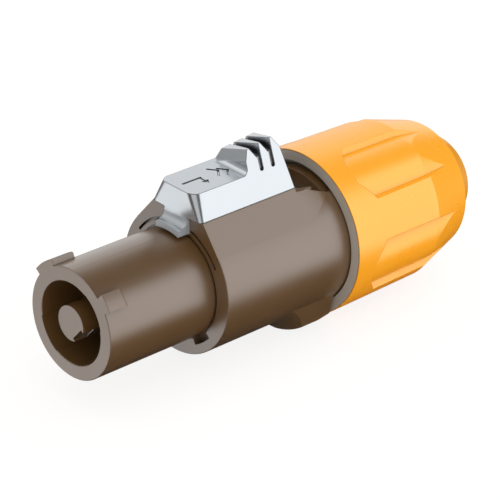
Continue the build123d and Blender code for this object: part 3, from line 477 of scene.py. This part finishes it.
def new_piece(name, shape, finish, body):
    """A smooth-shaded piece made of a finished bmesh, which rides on a body."""
    bmesh.ops.recalc_face_normals(shape, faces=shape.faces)
    mesh = bpy.data.meshes.new(name)
    shape.to_mesh(mesh)
    shape.free()
    mesh.shade_smooth()
    mesh.set_sharp_from_angle(angle=SHARP_FROM)
    mesh.materials.append(MATERIALS[finish])
    piece = bpy.data.objects.new(name, mesh)
    bpy.context.scene.collection.objects.link(piece)
    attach(piece, body)
    return piece


def wound_wire(wire_r, sides, start, axis_z, run, turns, steps):
    """A round wire wound round a line along X, from its start over a run to the rear, with closed ends."""
    shape = bmesh.new()
    ring = bmesh.ops.create_circle(shape, segments=sides, radius=wire_r)
    upright = Matrix.Rotation(math.pi / 2, 3, "X")
    bmesh.ops.rotate(shape, verts=ring["verts"], cent=(0, 0, 0), matrix=upright)
    bmesh.ops.translate(shape, verts=ring["verts"], vec=start)
    bmesh.ops.spin(
        shape, geom=shape.edges[:] + shape.verts[:], cent=(0, 0, axis_z), axis=(1, 0, 0),
        dvec=(-run / steps, 0, 0), angle=turns * 2 * math.pi, steps=steps, use_merge=False,
    )
    bmesh.ops.holes_fill(shape, edges=shape.edges, sides=0)
    return shape


def coil_spring():
    """The latch's compression spring, wound from round wire, with its first end in the latch's pocket."""
    start = (SPRING_FRONT, 0, SPRING_AXIS_Z + SPRING_R)
    shape = wound_wire(
        SPRING_WIRE_R, SPRING_WIRE_SIDES, start, SPRING_AXIS_Z, SPRING_RUN, SPRING_TURNS, SPRING_STEPS,
    )
    spring = new_piece("coil_spring", shape, "steel", "housing")
    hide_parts("latch_spring")
    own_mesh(spring)


def neck_thread():
    """The thread's rounded ridge on the housing's neck, under the gland nut."""
    start = (THREAD_FRONT, 0, THREAD_CORE_R)
    turns = THREAD_RUN / THREAD_PITCH
    shape = wound_wire(THREAD_RIDGE_R, THREAD_RIDGE_SIDES, start, 0, THREAD_RUN, turns, THREAD_STEPS)
    new_piece("neck_thread", shape, "housing", "housing")


def add_camera():
    """The camera stands where the photograph was taken from."""
    data = bpy.data.cameras.new("camera")
    data.lens = CAMERA_LENS
    data.sensor_width = CAMERA_SENSOR
    data.clip_end = CAMERA_REACH
    camera = bpy.data.objects.new("camera", data)
    turn = Matrix((CAMERA_RIGHT, CAMERA_UP, CAMERA_BACK)).transposed().to_4x4()
    camera.matrix_world = Matrix.Translation(CAMERA_AT) @ turn
    bpy.context.scene.collection.objects.link(camera)
    bpy.context.scene.camera = camera


def floor_white():
    """White to the camera, apart from the shadow's share, and clear to what mirrors the studio."""
    material, tree, principled = shader("floor_white")
    tree.nodes.remove(principled)
    lit_share = 1.0 - FLOOR_SHADOW_SHARE
    shade = add_node(tree, "ShaderNodeBsdfDiffuse", Color=FLOOR_SHADE)
    glow = add_node(tree, "ShaderNodeEmission", Strength=FLOOR_GLOW / lit_share)
    clear = tree.nodes.new("ShaderNodeBsdfTransparent")
    path = tree.nodes.new("ShaderNodeLightPath").outputs
    seen = calc(tree, "MULTIPLY", path["Is Camera Ray"], lit_share)
    white = mix(tree, seen, shade.outputs[0], glow.outputs[0])
    mirrored = mix(tree, path["Is Glossy Ray"], white, clear.outputs[0])
    feed(tree, tree.nodes["Material Output"].inputs["Surface"], mirrored)
    return material


def add_floor():
    """A pale floor that shows white, keeps a soft shadow and leaves the softboxes' reflections alone."""
    shape = bmesh.new()
    bmesh.ops.create_grid(shape, x_segments=1, y_segments=1, size=FLOOR_HALF)
    lowest = cad_box[0][2]
    bmesh.ops.translate(shape, vec=(0, 0, lowest), verts=shape.verts)
    mesh = bpy.data.meshes.new("floor")
    shape.to_mesh(mesh)
    shape.free()
    mesh.materials.append(floor_white())
    floor = bpy.data.objects.new("floor", mesh)
    bpy.context.scene.collection.objects.link(floor)


def inside(group, given, value, half):
    """1 within a half size, fading to 0 over the soft edge."""
    size = calc(group, "ABSOLUTE", value)
    near = calc(group, "SUBTRACT", given[half], given["Edge"])
    far = calc(group, "ADD", given[half], given["Edge"])
    return ramp(group, size, near, far, 1.0, 0.0)


def softbox_group():
    """How bright one softbox is in a direction: a rectangle with soft edges."""
    group, given, result = new_group("softbox", SOFTBOX_INPUTS, {"Light": "NodeSocketFloat"})
    ahead, across, upward = (dot(group, given["Direction"], given[way]) for way in ("Aim", "Side", "Up"))
    width = inside(group, given, across, "Half Width")
    height = inside(group, given, upward, "Half Height")
    window = calc(group, "MULTIPLY", width, height)
    front = calc(group, "MULTIPLY", window, calc(group, "GREATER_THAN", ahead, SOFTBOX_AHEAD))
    feed(group, result["Light"], calc(group, "MULTIPLY", front, given["Strength"]))
    return group


def all_softboxes(tree, direction):
    """The brightness of the dim studio with its softboxes, in a direction."""
    group = softbox_group()
    total = STUDIO_DIM
    for name, (aim, half_width, half_height, edge, strength) in SOFTBOXES.items():
        forward = Vector(aim).normalized()
        side = forward.cross(Vector((0, 0, 1))).normalized()
        box = add_node(
            tree, "ShaderNodeGroup", node_tree=group, name=name, Direction=direction, Aim=forward, Side=side,
            Up=side.cross(forward), Half_Width=half_width, Half_Height=half_height, Edge=edge,
            Strength=strength - STUDIO_DIM,
        )
        total = calc(tree, "ADD", total, box.outputs["Light"])
    return total


def add_world():
    """A white studio: even soft light, with softboxes that show in glossy surfaces."""
    world = bpy.data.worlds.new("studio")
    world.use_nodes = True
    tree = world.node_tree
    direction = tree.nodes.new("ShaderNodeTexCoord").outputs["Generated"]
    sideways = dot(tree, direction, Vector(SIDE_LIGHT_FROM).normalized())
    soft = calc(tree, "MULTIPLY_ADD", sideways, SIDE_LIGHT, SOFT_LIGHT)
    even = tree.nodes["Background"]
    feed(tree, even.inputs["Color"], WHITE)
    feed(tree, even.inputs["Strength"], soft)
    total = all_softboxes(tree, direction)
    studio = add_node(tree, "ShaderNodeBackground", Color=STUDIO_SHADE, Strength=total)
    white = add_node(tree, "ShaderNodeBackground", Color=WHITE)
    path = tree.nodes.new("ShaderNodeLightPath").outputs
    shiny = mix(tree, path["Is Glossy Ray"], even.outputs[0], studio.outputs[0])
    seen = mix(tree, path["Is Camera Ray"], shiny, white.outputs[0])
    feed(tree, tree.nodes["World Output"].inputs["Surface"], seen)
    bpy.context.scene.world = world


def set_view():
    """Colours show as they are written."""
    bpy.context.scene.view_settings.view_transform = "Standard"


dress_nodes()
coil_spring()
neck_thread()
add_camera()
add_floor()
add_world()
set_view()
